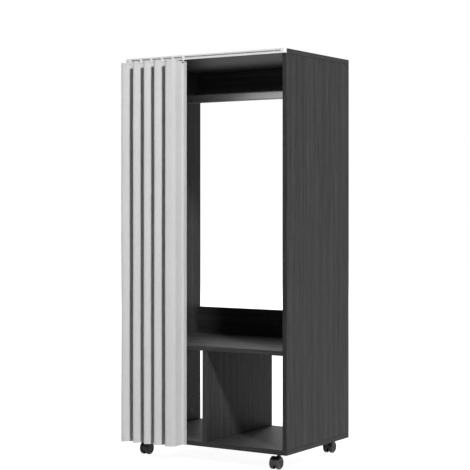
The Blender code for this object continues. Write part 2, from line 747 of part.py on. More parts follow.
def insert_caster_hardware(corner, x, y, surfaces, bottom_panel):
    """The flanged steel insert in the bottom board, and the stem, on whose pin the caster's body turns."""
    flange_low = UNDERSIDE - SEAT - INSERT_FLANGE
    insert_top = UNDERSIDE + INSERT_DEPTH
    insert = turned(
        f"{corner}_caster_insert",
        [
            (flange_low, INSERT_BORE),
            (flange_low, INSERT_FLANGE_RADIUS),
            (UNDERSIDE - SEAT, INSERT_FLANGE_RADIUS),
            (UNDERSIDE - SEAT, INSERT_RADIUS),
            (insert_top, INSERT_RADIUS),
            (insert_top, INSERT_BORE),
            (flange_low, INSERT_BORE),
        ],
        "z",
        surfaces["zinc"],
        SMALL_STEPS,
    )
    collar_low, collar_high = BOSS_TOP + RUNNING, flange_low - SEAT
    stem = turned(
        f"{corner}_caster_stem",
        [
            (BOSS_TOP - STEM_PIN_DEPTH, 0),
            (BOSS_TOP - STEM_PIN_DEPTH, STEM_PIN_RADIUS),
            (collar_low, STEM_PIN_RADIUS),
            (collar_low, STEM_COLLAR_RADIUS + RUNNING),
            (collar_high, STEM_COLLAR_RADIUS + RUNNING),
            (collar_high, STEM_THREAD_RADIUS),
            (collar_high + STEM_THREAD_LENGTH, STEM_THREAD_RADIUS),
            (collar_high + STEM_THREAD_LENGTH, 0),
        ],
        "z",
        surfaces["stem"],
        SMALL_STEPS,
    )
    for piece in (insert, stem):
        piece.location = (x, y, 0)
    drill(
        bottom_panel,
        "z",
        (x, y),
        UNDERSIDE - OVERRUN,
        insert_top + SEAT,
        INSERT_RADIUS + SEAT,
        surfaces["board"],
    )


def casters(surfaces, bottom_panel):
    for row, y in (("front", FRONT + CASTER_END_INSET), ("rear", REAR - CASTER_END_INSET)):
        for side, sign in (("left", -1), ("right", 1)):
            caster(f"{row}_{side}", sign * (WIDTH / 2 - CASTER_SIDE_INSET), y, surfaces, bottom_panel)


def main():
    clear_scene()
    surfaces = materials()
    boards = panels(surfaces)
    shelf = inner_boards(surfaces)
    shelf_cams(surfaces, shelf)
    hanging_rail(surfaces, boards)
    curtain_track(surfaces, boards["top"])
    curtain(surfaces)
    casters(surfaces, boards["bottom"])


main()
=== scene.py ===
"""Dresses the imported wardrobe: finer cloth, smooth casters, cover caps, materials, light, floor and camera.

Metres, +Z up. +X is to the right of someone who faces the open front, and the front faces -Y.
"""

import math

import bmesh
import bpy
from mathutils import Matrix, Vector, noise

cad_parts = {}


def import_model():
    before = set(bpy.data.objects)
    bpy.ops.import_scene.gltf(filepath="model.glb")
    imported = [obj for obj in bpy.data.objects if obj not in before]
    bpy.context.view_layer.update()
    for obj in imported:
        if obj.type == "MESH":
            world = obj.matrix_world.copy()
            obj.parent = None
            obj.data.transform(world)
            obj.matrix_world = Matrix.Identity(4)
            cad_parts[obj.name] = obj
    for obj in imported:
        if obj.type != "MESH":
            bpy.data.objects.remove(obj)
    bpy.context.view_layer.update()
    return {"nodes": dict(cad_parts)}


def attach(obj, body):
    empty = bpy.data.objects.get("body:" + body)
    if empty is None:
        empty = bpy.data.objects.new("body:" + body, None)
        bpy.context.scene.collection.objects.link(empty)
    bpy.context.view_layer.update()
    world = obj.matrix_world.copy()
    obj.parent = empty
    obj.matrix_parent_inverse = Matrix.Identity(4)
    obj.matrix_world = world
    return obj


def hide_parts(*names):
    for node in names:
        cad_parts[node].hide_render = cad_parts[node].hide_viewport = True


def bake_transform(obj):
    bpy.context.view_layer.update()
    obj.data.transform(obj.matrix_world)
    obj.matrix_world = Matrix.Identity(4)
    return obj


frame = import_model()

# Camera, fitted to the corners of the boards in the photograph
CAMERA_PLACE = (2.4085, -3.7492, 0.7987)
CAMERA_AZIMUTH = 0.5697
CAMERA_LENS = 105.27
CAMERA_SENSOR = 36.0
CAMERA_SHIFT_SHARE = -0.0568
CAMERA_REACH = 100.0

# Boards, as in the solids
FRONT = -0.1679
REAR = 0.2321
FLOOR_BOARD_TOP = 0.065
SHELF_UNDERSIDE = 0.351
SHELF_TOP = 0.366
TOP_BOARD_UNDERSIDE = 1.268
INSIDE = 0.285
BOARD = 0.015

# Curtain
GLIDERS = 6
LAST_FOLD = GLIDERS - 2
GLIDER_PITCH = 0.0416
FIRST_GLIDER = -0.2812
VALLEY = -0.1715
CLOTH = 0.0006
CURTAIN_TOP = 1.265
CURTAIN_BOTTOM = 0.050
FOLD_DEPTH = 0.0600
FOLD_START = 0.0025
FOLD_CREST = (0.0038, FOLD_DEPTH)
FOLD_SHOULDER = (0.0217, 0.0487)
FOLD_FOOT = 0.0380
FOLD_EASES = (0.0091, 0.0093, 0.0108, 0.0091)
LAST_SHOULDER = (0.0342, 0.0445)
LAST_FOOT = 0.0352
LAST_EASES = (0.0091, 0.0093, 0.0095, 0.0057)
FOLD_LEANS = (0.0046, 0.0007, 0.0, 0.0, 0.0)
CREST_SHIFTS = (0.0, 0.0007, 0.0010, 0.0, 0.0011)
EASE_STEPS = 10
FOLD_STEPS = 80
ROW_HEIGHT = 0.020
WANDER = 0.0010
WANDER_LENGTH = 0.35
WANDER_ONSET_SHARE = 0.25
WANDER_FOLD_STEP = 3.7
WANDER_SECOND_STEP = 9.1

# Hems and their stitches. A stitch's rings: share of half its length, and rise in its own radii
SIDE_HEM = 0.008
HEADER_HEM = 0.0065
BOTTOM_HEM = 0.012
HEM_PLY = 0.0004
PUCKER = 0.00012
SIDE_STITCH = 0.0055
HEADER_STITCH = 0.0048
BOTTOM_STITCH = 0.0095
STITCH_LENGTH = 0.0026
STITCH_PITCH = 0.0035
STITCH_RADIUS = 0.00028
STITCH_RINGS = ((-1.0, -2.0), (-0.6, 0.0), (0.6, 0.0), (1.0, -2.0))
STITCH_SIDES = 4

# Casters
CASTER_SIDE_INSET = 0.0550
CASTER_END_INSET = 0.0454
CASTER_TRAIL = 0.016
CASTER_TURNS_DEGREES = {"front_left": 1, "front_right": 3, "rear_left": 178, "rear_right": 182}
WHEEL_RADIUS = 0.020
WHEEL_WIDTH = 0.0106
WHEEL_SPACING = 0.0116
WHEEL_SHOULDER = 0.0042
WHEEL_RIM_RADIUS = 0.0148
WHEEL_RECESS = 0.0060
WHEEL_RECESS_RADIUS = 0.0166
WHEEL_HUB_RADIUS = 0.0056
TREAD_EASE = 0.0008
WHEEL_DISH = 0.0014
WHEEL_DISH_RADII = (0.0128, 0.0121, 0.0064, 0.0058)
WHEEL_DIMPLE = 0.0004
WHEEL_DIMPLE_RADII = (0.0030, 0.0026)
WHEEL_BORE = 0.0026
MOULD_LINE = 0.00012
MOULD_LINE_PLACE = 0.0034
MOULD_LINE_WIDTH = 0.0003
CORE_RADIUS = 0.0184
CORE_ARC_DEGREES = (72, 202)
CORE_ARC_STEPS = 40
CORE_HUB_RADIUS = 0.0075
CORE_HUB_ARC_DEGREES = (250, 310)
CORE_HUB_ARC_STEPS = 12
CORE_HALF_WIDTH = 0.0054
CORE_SHOULDER = 0.0392
CORE_EASE = 0.0008
CORE_EASE_STEPS = 3
BOSS_RADIUS = 0.0051
BOSS_TOP = 0.0455
PART_EASE = 0.0003
INNER_EASE_STEPS = 3
OUTER_EASE_STEPS = 2
ROUND_STEPS = 72
SHOULDER_STEPS = 10

# Cover caps over the joints' cam locks
CAP_RADIUS = 0.0080
CAP_HEIGHT = 0.0009
CAP_CROWN = 0.00108
CAP_GAP = 0.0001
CAP_STEPS = 36
CAP_FROM_JOINT = 0.034
CAP_FROM_EDGE = 0.060
STRIP_CAP_FROM_JOINT = 0.045

# Smooth shading: bends over these angles stay sharp, and points closer than these are joined
SHARP_DEGREES = 35
CLOTH_SHARP_DEGREES = 50
STITCH_SHARP_DEGREES = 80
FACET_WELD = 0.000028
SPIN_WELD = 0.0000028

# Dark foil: tones by place on the ramp, and grain in repeats a metre across, across and along
FOIL_TONES = (
    (0.32, (0.017, 0.017, 0.018)),
    (0.50, (0.033, 0.033, 0.034)),
    (0.68, (0.059, 0.059, 0.060)),
)
FOIL_BANDS = (60.0, 60.0, 1.2)
FOIL_STREAKS = (420.0, 420.0, 9.0)
FOIL_PORES = (1500.0, 1500.0, 45.0)
FOIL_TONE_SHARES = (0.42, 0.58)
FOIL_PITS = ((0.36, 0.55), (0.46, 1.0))
FOIL_ROUGHNESS = ((0.25, 0.56), (0.75, 0.44))
FOIL_GLOSS = 0.10
FOIL_STREAK_RISE_SHARE = 0.5
FOIL_END_FACING = 0.7
FOIL_RELIEF = 0.00012
FOIL_RELIEF_STRENGTH = 0.6
GRAIN_OFFSET_PRIMES = (2, 3, 5)

# Metal: lines and clouds in repeats a metre, and how far its tone and its roughness vary
BRUSH_ALONG = 20.0
BRUSH_ACROSS = 2600.0
METAL_CLOUD = (30.0, 30.0, 30.0)
METAL_DARK_SHARE = 0.90
METAL_ROUGHNESS_SHARES = (0.6, 0.4)
METAL_ROUGHNESS_SPREAD = (-0.08, 0.10)
BRUSH_RELIEF = 0.00002
BRUSH_RELIEF_STRENGTH = 0.5

# Moulded plastic
MOULD_GRAIN = (2200.0, 2200.0, 2200.0)
MOULD_CLOUD = (90.0, 90.0, 90.0)
PLASTIC_DARK_SHARE = 0.93
PLASTIC_ROUGHNESS_SPREAD = (-0.05, 0.07)
MOULD_RELIEF = 0.00004
MOULD_RELIEF_STRENGTH = 0.6

# Low and high places on the ramps of metal and plastic
VARIED_STOPS = (0.30, 0.70)

# Cloth: threads and soft patches in repeats a metre along and across the flat cloth
THREAD_PITCH = 0.00055
WEFT_SLUBS = (18.0, 2400.0, 1.0)
WARP_SLUBS = (2400.0, 18.0, 1.0)
CLOTH_PATCHES = (14.0, 5.0, 1.0)
CLOTH_TONE_SHARES = (0.42, 0.06)
CLOTH_PATCH_SHARE = 0.16
CLOTH_TONE_STOPS = (0.30, 0.50, 0.70)
CLOTH_DARK_SHARE = 0.80
CLOTH_LIGHT_SHARE = 1.10
CLOTH_ROUGHNESS = 0.88
CLOTH_GLOSS = 0.10
CLOTH_SHEEN = 0.08
CLOTH_SHEEN_ROUGHNESS = 0.5
SLUB_RISE_SHARE = 0.8
THREAD_RELIEF = 0.00014
THREAD_RELIEF_STRENGTH = 0.5

# Light and stage
FLOOR_SIZE = 30.0
FLOOR_COLOR = (0.52, 0.52, 0.52)
FLOOR_ROUGHNESS = 0.90
WHITE = (1.0, 1.0, 1.0)
WORLD_STRENGTH = 0.010
FLOOR_GLOW_SHARES = (0.93, 0.97)
FLOOR_GLOW_NEAR = 0.8
FLOOR_GLOW_FAR = 2.5
LIGHT_TARGET = (0.0, 0.0, 0.65)
LIGHT_DISTANCE = 9.0
LAMPS = {
    "key": {"azimuth": 54.5, "elevation": 38, "size": 0.9, "power": 890},
    "fill": {"azimuth": -25, "elevation": 12, "size": 2.2, "power": 15},
    "back": {"azimuth": 190, "elevation": 12, "size": 3.0, "power": 380},
    "left": {"azimuth": -100, "elevation": 20, "size": 2.2, "power": 260},
}


def node_tree(name):
    """A new material, its tree and its main shader."""
    made = bpy.data.materials.new(name)
    made.use_nodes = True
    return made, made.node_tree, made.node_tree.nodes["Principled BSDF"]


def add(tree, kind, **settings):
    made = tree.nodes.new(kind)
    for key, value in settings.items():
        setattr(made, key, value)
    return made


def math_node(tree, operation, *inputs):
    made = add(tree, "ShaderNodeMath", operation=operation)
    for i, value in enumerate(inputs):
        if isinstance(value, (int, float)):
            made.inputs[i].default_value = value
        else:
            tree.links.new(value, made.inputs[i])
    return made.outputs[0]


def blended(tree, first, second, shares):
    """The sum of two values, each times its share."""
    parts = [math_node(tree, "MULTIPLY", value, share) for value, share in zip((first, second), shares)]
    return math_node(tree, "ADD", *parts)


def opaque(color):
    return (*color, 1.0)


def space(tree, scale, source="Object"):
    """The surface's own coordinates, stretched by scale in repeats a metre."""
    coordinates = add(tree, "ShaderNodeTexCoord")
    return stretched(tree, coordinates.outputs[source], scale)


def stretched(tree, vector, scale):
    made = add(tree, "ShaderNodeVectorMath", operation="MULTIPLY")
    tree.links.new(vector, made.inputs[0])
    made.inputs[1].default_value = scale
    return made.outputs[0]


def noise_node(tree, vector, detail, roughness=0.5):
    made = add(tree, "ShaderNodeTexNoise", noise_dimensions="3D")
    made.inputs["Scale"].default_value = 1.0
    made.inputs["Detail"].default_value = detail
    made.inputs["Roughness"].default_value = roughness
    tree.links.new(vector, made.inputs["Vector"])
    return made.outputs[0]


def ramp(tree, value, *stops):
    """A value or colour ramp from (place, grey or colour) stops."""
    made = add(tree, "ShaderNodeValToRGB")
    elements = made.color_ramp.elements
    while len(elements) < len(stops):
        elements.new(0.5)
    for element, (place, color) in zip(elements, stops):
        element.position = place
        grey = isinstance(color, (int, float))
        element.color = opaque([color] * 3 if grey else color)
    tree.links.new(value, made.inputs[0])
    return made.outputs[0]


def bump(tree, shader, height, distance, strength):
    made = add(tree, "ShaderNodeBump")
    made.inputs["Distance"].default_value = distance
    made.inputs["Strength"].default_value = strength
    tree.links.new(height, made.inputs["Height"])
    tree.links.new(made.outputs[0], shader.inputs["Normal"])


def grain_vector(tree, grain, offset):
    """Coordinates in which Z runs along the grain. On a board's ends the grain runs along the edge band."""
    coordinates = add(tree, "ShaderNodeTexCoord")
    place = add(tree, "ShaderNodeSeparateXYZ")
    facing = add(tree, "ShaderNodeSeparateXYZ")
    moved = add(tree, "ShaderNodeVectorMath", operation="ADD")
    tree.links.new(coordinates.outputs["Object"], moved.inputs[0])
    moved.inputs[1].default_value = offset
    tree.links.new(moved.outputs[0], place.inputs[0])
    tree.links.new(coordinates.outputs["Normal"], facing.inputs[0])
    along = "XYZ".index(grain)
    across = 1
    other = 3 - along - across
    faces, ends = add(tree, "ShaderNodeCombineXYZ"), add(tree, "ShaderNodeCombineXYZ")
    for made, order in ((faces, (other, across, along)), (ends, (other, along, across))):
        for socket, source in zip(made.inputs, order):
            tree.links.new(place.outputs[source], socket)
    turned_out = math_node(tree, "ABSOLUTE", facing.outputs[along])
    end = math_node(tree, "GREATER_THAN", turned_out, FOIL_END_FACING)
    mixed = add(tree, "ShaderNodeMix", data_type="VECTOR")
    tree.links.new(end, mixed.inputs["Factor"])
    tree.links.new(faces.outputs[0], mixed.inputs["A"])
    tree.links.new(ends.outputs[0], mixed.inputs["B"])
    return mixed.outputs["Result"]


def wood(name, grain, offset):
    """Dark printed foil with a straight grain along one axis: bands, fine streaks and short pores."""
    made, tree, shader = node_tree(name)
    vector = grain_vector(tree, grain, offset)
    bands = noise_node(tree, stretched(tree, vector, FOIL_BANDS), detail=3.0)
    streaks = noise_node(tree, stretched(tree, vector, FOIL_STREAKS), detail=4.0, roughness=0.65)
    pores = noise_node(tree, stretched(tree, vector, FOIL_PORES), detail=2.0)
    color = ramp(tree, blended(tree, bands, streaks, FOIL_TONE_SHARES), *FOIL_TONES)
    pit = ramp(tree, pores, *FOIL_PITS)
    shade = add(tree, "ShaderNodeMix", data_type="RGBA", blend_type="MULTIPLY")
    shade.inputs["Factor"].default_value = 1.0
    tree.links.new(color, shade.inputs["A"])
    tree.links.new(pit, shade.inputs["B"])
    tree.links.new(shade.outputs["Result"], shader.inputs["Base Color"])
    tree.links.new(ramp(tree, streaks, *FOIL_ROUGHNESS), shader.inputs["Roughness"])
    shader.inputs["Specular IOR Level"].default_value = FOIL_GLOSS
    relief = math_node(tree, "ADD", pit, math_node(tree, "MULTIPLY", streaks, FOIL_STREAK_RISE_SHARE))
    bump(tree, shader, relief, FOIL_RELIEF, FOIL_RELIEF_STRENGTH)
    return made


def varied_color(tree, shader, cloud, color, dark_share):
    """Links the base colour to a cloud, from a darker share of the colour to the colour itself."""
    low, high = VARIED_STOPS
    tint = ramp(tree, cloud, (low, [part * dark_share for part in color]), (high, color))
    tree.links.new(tint, shader.inputs["Base Color"])


def varied_roughness(tree, shader, value, roughness, spread):
    """Links the roughness to a value, from the lower to the upper end of the spread around it."""
    stops = [(place, roughness + off) for place, off in zip(VARIED_STOPS, spread)]
    tree.links.new(ramp(tree, value, *stops), shader.inputs["Roughness"])


def steel(name, color, along, roughness):
    """Drawn or brushed metal, its fine lines along one axis."""
    made, tree, shader = node_tree(name)
    stretch = [BRUSH_ALONG if axis == along else BRUSH_ACROSS for axis in "xyz"]
    lines = noise_node(tree, space(tree, stretch), detail=3.0)
    cloud = noise_node(tree, space(tree, METAL_CLOUD), detail=4.0)
    shader.inputs["Metallic"].default_value = 1.0
    varied_color(tree, shader, cloud, color, METAL_DARK_SHARE)
    mixed = blended(tree, lines, cloud, METAL_ROUGHNESS_SHARES)
    varied_roughness(tree, shader, mixed, roughness, METAL_ROUGHNESS_SPREAD)
    bump(tree, shader, lines, BRUSH_RELIEF, BRUSH_RELIEF_STRENGTH)
    return made


def plastic(name, color, roughness, gloss=0.5):
    """Moulded plastic with a fine spark-eroded grain and faint clouding."""
    made, tree, shader = node_tree(name)
    grain = noise_node(tree, space(tree, MOULD_GRAIN), detail=2.0)
    cloud = noise_node(tree, space(tree, MOULD_CLOUD), detail=3.0)
    varied_color(tree, shader, cloud, color, PLASTIC_DARK_SHARE)
    varied_roughness(tree, shader, cloud, roughness, PLASTIC_ROUGHNESS_SPREAD)
    shader.inputs["Specular IOR Level"].default_value = gloss
    bump(tree, shader, grain, MOULD_RELIEF, MOULD_RELIEF_STRENGTH)
    return made


def weave(name, color):
    """Plain weave in the cloth's own flat coordinates, with threads that vary in tone and thickness."""
    made, tree, shader = node_tree(name)
    split = add(tree, "ShaderNodeSeparateXYZ")
    tree.links.new(space(tree, (1.0, 1.0, 1.0), "UV"), split.inputs[0])
    turns = math.pi / THREAD_PITCH
    across = math_node(tree, "SINE", math_node(tree, "MULTIPLY", split.outputs[0], turns))
    down = math_node(tree, "SINE", math_node(tree, "MULTIPLY", split.outputs[1], turns))
    check = math_node(tree, "MULTIPLY", across, down)
    weft = noise_node(tree, space(tree, WEFT_SLUBS, "UV"), detail=2.0)
    warp = noise_node(tree, space(tree, WARP_SLUBS, "UV"), detail=2.0)
    slub = math_node(tree, "ADD", weft, warp)
    patches = noise_node(tree, space(tree, CLOTH_PATCHES, "UV"), detail=3.0)
    tone = blended(tree, slub, check, CLOTH_TONE_SHARES)
    tone = math_node(tree, "ADD", tone, math_node(tree, "MULTIPLY", patches, CLOTH_PATCH_SHARE))
    tones = [[part * share for part in color] for share in (CLOTH_DARK_SHARE, 1.0, CLOTH_LIGHT_SHARE)]
    tree.links.new(ramp(tree, tone, *zip(CLOTH_TONE_STOPS, tones)), shader.inputs["Base Color"])
    shader.inputs["Roughness"].default_value = CLOTH_ROUGHNESS
    shader.inputs["Specular IOR Level"].default_value = CLOTH_GLOSS
    shader.inputs["Sheen Weight"].default_value = CLOTH_SHEEN
    shader.inputs["Sheen Roughness"].default_value = CLOTH_SHEEN_ROUGHNESS
    height = math_node(tree, "ADD", check, math_node(tree, "MULTIPLY", slub, SLUB_RISE_SHARE))
    bump(tree, shader, height, THREAD_RELIEF, THREAD_RELIEF_STRENGTH)
    return made


def materials():
    """The surfaces of all pieces but the boards, by the names that dress_fittings uses."""
    return {
        "rail": steel("brushed_rail_steel", (0.42, 0.42, 0.415), along="x", roughness=0.48),
        "zinc": steel("zinc_plate", (0.60, 0.60, 0.60), along="z", roughness=0.34),
        "stem": steel("black_oxide_steel", (0.10, 0.10, 0.10), along="z", roughness=0.38),
        "track": plastic("white_track_plastic", (0.86, 0.86, 0.86), roughness=0.38),
        "glider": plastic("white_glider_nylon", (0.88, 0.88, 0.87), roughness=0.33),
        "caster": plastic("black_caster_nylon", (0.046, 0.046, 0.048), roughness=0.40, gloss=0.22),
        "cap": plastic("dark_cover_cap_plastic", (0.024, 0.024, 0.025), roughness=0.50, gloss=0.20),
        "curtain": weave("pale_grey_weave", (0.575, 0.575, 0.575)),
        # The thread's dark grey is partly its own colour and partly painted shade of the puckered seam line.
        "thread": plastic("grey_thread_with_painted_seam_shade", (0.30, 0.30, 0.30), roughness=0.80),
    }


def dress_boards():
    """Each board gets its own stretch of the printed grain, so that no two look alike."""
    lying = ("top_panel", "bottom_panel", "middle_shelf", "top_back_strip", "lower_back_strip")
    standing = ("left_side_panel", "right_side_panel", "divider_panel")
    for number, name in enumerate(lying + standing):
        grain = "X" if name in lying else "Z"
        offset = [math.sqrt(prime) * number for prime in GRAIN_OFFSET_PRIMES]
        surface = wood(f"dark_grain_{name}", grain, offset)
        set_surface(frame["nodes"][name], surface)


def set_surface(obj, surface):
    obj.data.materials.clear()
    obj.data.materials.append(surface)


def dress_fittings(surfaces):
    """Gives every small solid that stays its finer material, and lets its round faces shade as round."""
    for name, obj in frame["nodes"].items():
        if name.endswith(("_panel", "_strip", "_shelf")):
            continue
        if name == "hanging_rail":
            key = "rail"
        elif name.startswith("glider"):
            key = "glider"
        elif name == "curtain_track" or name.startswith("track_end_cap"):
            key = "track"
        elif name.endswith(("_stem", "_axle")):
            key = "stem"
        elif name.endswith(("_wheel", "_caster_body")):
            key = "caster"
        elif name.startswith("curtain_pleat"):
            key = "curtain"
        else:
            key = "zinc"
        set_surface(obj, surfaces[key])
        shade_round(obj)


def shade_round(obj):
    """Smooth shading over the facets of a solid's round faces. The solid's points stay as they are."""
    if "custom_normal" in obj.data.attributes:
        obj.data.attributes.remove(obj.data.attributes["custom_normal"])
    obj.data.shade_smooth()
    weld = obj.modifiers.new("joined_facets", "WELD")
    weld.merge_threshold = FACET_WELD
    split = obj.modifiers.new("sharp_edges", "EDGE_SPLIT")
    split.split_angle = math.radians(SHARP_DEGREES)


def finish_mesh(name, built, surface, sharp_degrees=SHARP_DEGREES):
    """A smooth object from a mesh that is being built, with its surface."""
    mesh = bpy.data.meshes.new(name)
    built.to_mesh(mesh)
    built.free()
    mesh.shade_smooth()
    mesh.set_sharp_from_angle(angle=math.radians(sharp_degrees))
    mesh.materials.append(surface)
    obj = bpy.data.objects.new(name, mesh)
    bpy.context.scene.collection.objects.link(obj)
    return obj


def eased(points, eases, steps=EASE_STEPS):
    """A line whose inner corners are each swapped for a short curve, as long on both sides as its ease."""
    points = [Vector(point) for point in points]
    made = [points[0]]
    for before, corner, after, ease in zip(points, points[1:], points[2:], eases):
        start = corner + (before - corner).normalized() * min(ease, (before - corner).length / 2)
        end = corner + (after - corner).normalized() * min(ease, (after - corner).length / 2)
        for i in range(steps + 1):
            share = i / steps
            made.append(start.lerp(corner, share).lerp(corner.lerp(end, share), share))
    return made + [points[-1]]


def run_along(line):
    """The distance run to each point of a line."""
    run = [0.0]
    for before, after in zip(line, line[1:]):
        run.append(run[-1] + (after - before).length)
    return run


def at_run(line, run, distance):
    """The point of a line after a distance, and the line's direction there."""
    i = 0
    while i < len(line) - 2 and run[i + 1] < distance:
        i += 1
    step = line[i + 1] - line[i]
    share = (distance - run[i]) / (run[i + 1] - run[i])
    return line[i] + step * share, step.normalized()


def fold_corners(number):
    """The corners of one fold's line, as (along the track, out from the valleys), and their eases."""
    shoulder, foot, eases = FOLD_SHOULDER, FOLD_FOOT, FOLD_EASES
    if number == LAST_FOLD:
        shoulder, foot, eases = LAST_SHOULDER, LAST_FOOT, LAST_EASES
    crest = (FOLD_CREST[0] + CREST_SHIFTS[number], FOLD_CREST[1])
    corners = [(0, 0), (FOLD_START, 0), crest, shoulder, (foot, 0), (GLIDER_PITCH, 0)]
    lean = FOLD_LEANS[number] / FOLD_DEPTH
    return [(x - lean * out, out) for x, out in corners], eases


def fold_line(number):
    """The line of one fold, seen from above, in even steps. The first and the last have a side hem."""
    curve = eased(*fold_corners(number))
    run = run_along(curve)
    line = [at_run(curve, run, run[-1] * i / FOLD_STEPS)[0] for i in range(FOLD_STEPS + 1)]
    hem = [SIDE_HEM - inset for inset in hem_rows(SIDE_HEM, SIDE_STITCH)]
    if number == 0:
        line = [Vector((-beyond, 0)) for beyond in hem] + line
    if number == LAST_FOLD:
        line += [Vector((GLIDER_PITCH + beyond, 0)) for beyond in reversed(hem)]
    return line


def hem_rows(width, stitch):
    """Distances from a hem's edge at which the cloth needs rows: at its edge, its stitches and its end."""
    return [0, stitch - 2 * STITCH_RADIUS, stitch, stitch + 2 * STITCH_RADIUS, width - CLOTH]


def half_ply(edges):
    """Half the cloth's thickness: more in a hem, and less where stitches draw it in.

    Each of the edges is given as (distance from it, width of its hem, distance of its stitches).
    """
    in_hem = any(distance < width for distance, width, _ in edges)
    half = (CLOTH + HEM_PLY) / 2 if in_hem else CLOTH / 2
    for distance, _, stitch_distance in edges:
        if abs(distance - stitch_distance) < STITCH_RADIUS:
            half -= PUCKER
    return half


def edge_distances(number, x, level):
    """How far a point is from the cloth's edges, each with its hem's width and its stitches' distance."""
    edges = [
        (CURTAIN_TOP - level, HEADER_HEM, HEADER_STITCH),
        (level - CURTAIN_BOTTOM, BOTTOM_HEM, BOTTOM_STITCH),
    ]
    if number == 0:
        edges.append((x + SIDE_HEM, SIDE_HEM, SIDE_STITCH))
    if number == LAST_FOLD:
        edges.append((GLIDER_PITCH + SIDE_HEM - x, SIDE_HEM, SIDE_STITCH))
    return edges


def hang(x, out, level, number):
    """How the cloth leaves its ideal fold on the way down: a slow drift that grows below the header."""
    below = (CURTAIN_TOP - level) / (CURTAIN_TOP - CURTAIN_BOTTOM)
    free = out / FOLD_DEPTH
    place = Vector((x / GLIDER_PITCH, number * WANDER_FOLD_STEP, level / WANDER_LENGTH))
    drift = noise.noise(place) * WANDER * free * min(1.0, below / WANDER_ONSET_SHARE)
    return drift, noise.noise(place + Vector((WANDER_SECOND_STEP, 0, 0))) * WANDER * free


def cloth_point(number, flat, normal, level, off):
    """Where a point of a fold's line hangs at a level, moved off the cloth's middle along its normal."""
    drift_x, drift_y = hang(flat.x, flat.y, level, number)
    x = FIRST_GLIDER + number * GLIDER_PITCH + flat.x + drift_x
    y = VALLEY - flat.y - drift_y
    return Vector((x + normal.x * off, y + normal.y * off, level))


def cloth_normal(line, i):
    """The direction towards the cloth's front, seen from above, at a point of its line."""
    ahead, behind = line[min(i + 1, len(line) - 1)], line[max(i - 1, 0)]
    if line[i].y == 0 and (ahead.y == 0 or behind.y == 0):
        return Vector((0, -1))
    return Vector((behind.y - ahead.y, behind.x - ahead.x)).normalized()


def curtain_levels():
    """Heights of the rows, close together at the header and at the bottom hem."""
    count = round((CURTAIN_TOP - CURTAIN_BOTTOM) / ROW_HEIGHT)
    step = (CURTAIN_TOP - CURTAIN_BOTTOM) / count
    even = [CURTAIN_TOP - i * step for i in range(1, count)]
    header = [CURTAIN_TOP - inset for inset in (*hem_rows(HEADER_HEM, HEADER_STITCH), HEADER_HEM)]
    bottom = [CURTAIN_BOTTOM + inset for inset in (*hem_rows(BOTTOM_HEM, BOTTOM_STITCH), BOTTOM_HEM)]
    return sorted({round(level, 6) for level in even + header + bottom}, reverse=True)


def cloth_fold(number, before, surface):
    """One fold of the curtain, from glider to glider, as a sheet with hems, and its flat width.

    Before is the flat width of the folds to its left, so that the weave goes on from one to the next.
    """
    line = fold_line(number)
    run = run_along(line)
    normals = [cloth_normal(line, i) for i in range(len(line))]
    built = bmesh.new()
    flat = built.loops.layers.uv.new("flat")
    places = {}
    rows = []
    for level in curtain_levels():
        sides = ([], [])
        for i, place in enumerate(line):
            half = half_ply(edge_distances(number, place.x, level))
            for points, sign in zip(sides, (1, -1)):
                point = built.verts.new(cloth_point(number, place, normals[i], level, sign * half))
                places[point] = (before + run[i], CURTAIN_TOP - level)
                points.append(point)
        rows.append(sides[0] + sides[1][::-1])
    count = len(rows[0])
    for upper, lower in zip(rows, rows[1:]):
        for i in range(count):
            j = (i + 1) % count
            built.faces.new((upper[i], lower[i], lower[j], upper[j]))
    for ring, turn in ((rows[0], 1), (rows[-1], -1)):
        for i in range(len(line) - 1):
            corners = (ring[i], ring[i + 1], ring[count - 2 - i], ring[count - 1 - i])
            built.faces.new(corners[::turn])
    for face in built.faces:
        for loop in face.loops:
            loop[flat].uv = places[loop.vert]
    bmesh.ops.recalc_face_normals(built, faces=built.faces)
    made = finish_mesh(f"curtain_cloth_{number + 1}", built, surface, CLOTH_SHARP_DEGREES)
    return made, run[-1]


def stitch(built, place, along, out):
    """One sewn stitch, a little proud of the cloth in its middle and drawn into it at its ends."""
    side = along.cross(out)
    rings = []
    for share, rise in STITCH_RINGS:
        middle = place + along * (share * STITCH_LENGTH / 2) + out * (rise * STITCH_RADIUS)
        ring = []
        for corner in range(STITCH_SIDES):
            turn = 2 * math.pi * (corner + 0.5) / STITCH_SIDES
            spoke = side * math.cos(turn) + out * math.sin(turn)
            ring.append(built.verts.new(middle + spoke * STITCH_RADIUS))
        rings.append(ring)
    for near, far in zip(rings, rings[1:]):
        for i in range(STITCH_SIDES):
            built.faces.new((near[i - 1], near[i], far[i], far[i - 1]))


